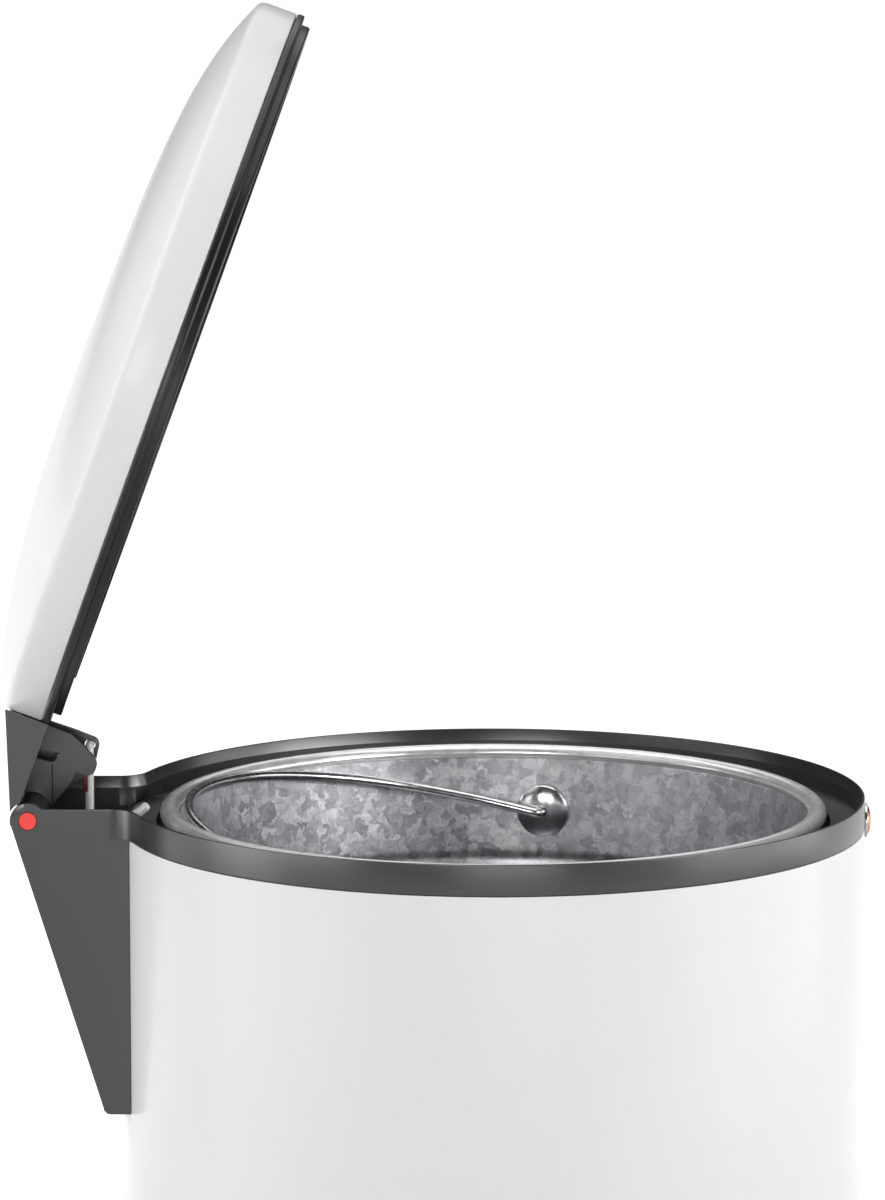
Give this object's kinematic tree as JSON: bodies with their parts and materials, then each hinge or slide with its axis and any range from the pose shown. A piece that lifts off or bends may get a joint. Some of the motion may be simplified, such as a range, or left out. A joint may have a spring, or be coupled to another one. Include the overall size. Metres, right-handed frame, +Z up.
{
  "type": "pedal trash can",
  "caption": "Round pedal bin with a hinged dome lid, a dark rim collar with a wedge hinge housing, and a galvanised inner bucket with a wire handle.",
  "frame": {"origin": "centre of the base's underside, on the axis of the round body", "axes": "+Z up along the body's axis, -Y towards the pedal, +Y towards the lid hinge, +X to the right seen from the pedal"},
  "size_m": [0.3006, 0.3876, 0.718],
  "materials": {
    "coated_steel": "satin light grey-white powder coat",
    "dark_plastic": "satin anthracite moulded plastic",
    "black_plastic": "satin black moulded plastic",
    "red_plastic": "flat bright red plastic",
    "black_rubber": "matte black rubber",
    "galvanised_steel": "hot-dip galvanised sheet with a spangle pattern",
    "galvanised_wire": "bright galvanised round wire",
    "bright_steel": "bright plated steel",
    "copper_trim": "satin copper-coloured metal"
  },
  "bodies": {
    "bin": {"body_shell": "coated_steel", "base_tray": "black_plastic", "floor_ring": "black_rubber", "inner_floor": "black_plastic", "floor_screw_1": "bright_steel", "floor_screw_2": "bright_steel", "floor_screw_3": "bright_steel", "floor_screw_4": "bright_steel", "pedal_axle": "bright_steel", "axle_clamp_left": "black_plastic", "axle_clamp_right": "black_plastic", "rim_collar": "dark_plastic", "hinge_pin": "bright_steel", "hinge_cap_left": "red_plastic", "hinge_cap_right": "red_plastic", "stop_wire": "galvanised_wire", "badge_ring": "bright_steel", "badge_dome": "copper_trim"},
    "lid": {"lid_shell": "coated_steel", "lid_liner": "black_plastic", "hinge_cover": "dark_plastic", "lid_arm_left": "dark_plastic", "lid_arm_right": "dark_plastic"},
    "lift_rod": {"push_rod": "galvanised_wire", "rod_clip": "red_plastic"},
    "pedal": {"pedal_lever": "bright_steel", "pedal_plate": "bright_steel", "pedal_pad": "black_rubber"},
    "bucket": {"bucket_wall": "galvanised_steel", "bucket_bottom": "galvanised_steel", "ear_left": "bright_steel", "ear_right": "bright_steel"},
    "handle": {"bail": "galvanised_wire"}
  },
  "joints": [
    {"name": "lid_hinge", "type": "hinge", "parent": "bin", "child": "lid", "pos_m": [0, 0.1857, 0.3952], "axis": [1, 0, 0], "range_deg": [0, 69.9]},
    {"name": "rod_hook", "type": "hinge", "parent": "lid", "child": "lift_rod", "pos_m": [0, 0.1632, 0.4188], "axis": [1, 0, 0], "range_deg": [-70, 0]},
    {"name": "pedal_hinge", "type": "hinge", "parent": "bin", "child": "pedal", "pos_m": [0, -0.045, 0.03], "axis": [1, 0, 0], "range_deg": [-11.4, 0]},
    {"name": "bucket_turn", "type": "hinge", "parent": "bin", "child": "bucket", "pos_m": [0, 0, 0.0605], "axis": [0, 0, 1], "continuous": true},
    {"name": "handle_swing", "type": "hinge", "parent": "bucket", "child": "handle", "pos_m": [0, 0, 0.3693], "axis": [0.9839, -0.1788, 0], "range_deg": [0, 155.6]}
  ],
  "couplings": [
    {"joint": "rod_hook", "follows": "lid_hinge", "ratio": -1},
    {"joint": "pedal_hinge", "follows": "lid_hinge", "ratio": -0.16166}
  ]
}
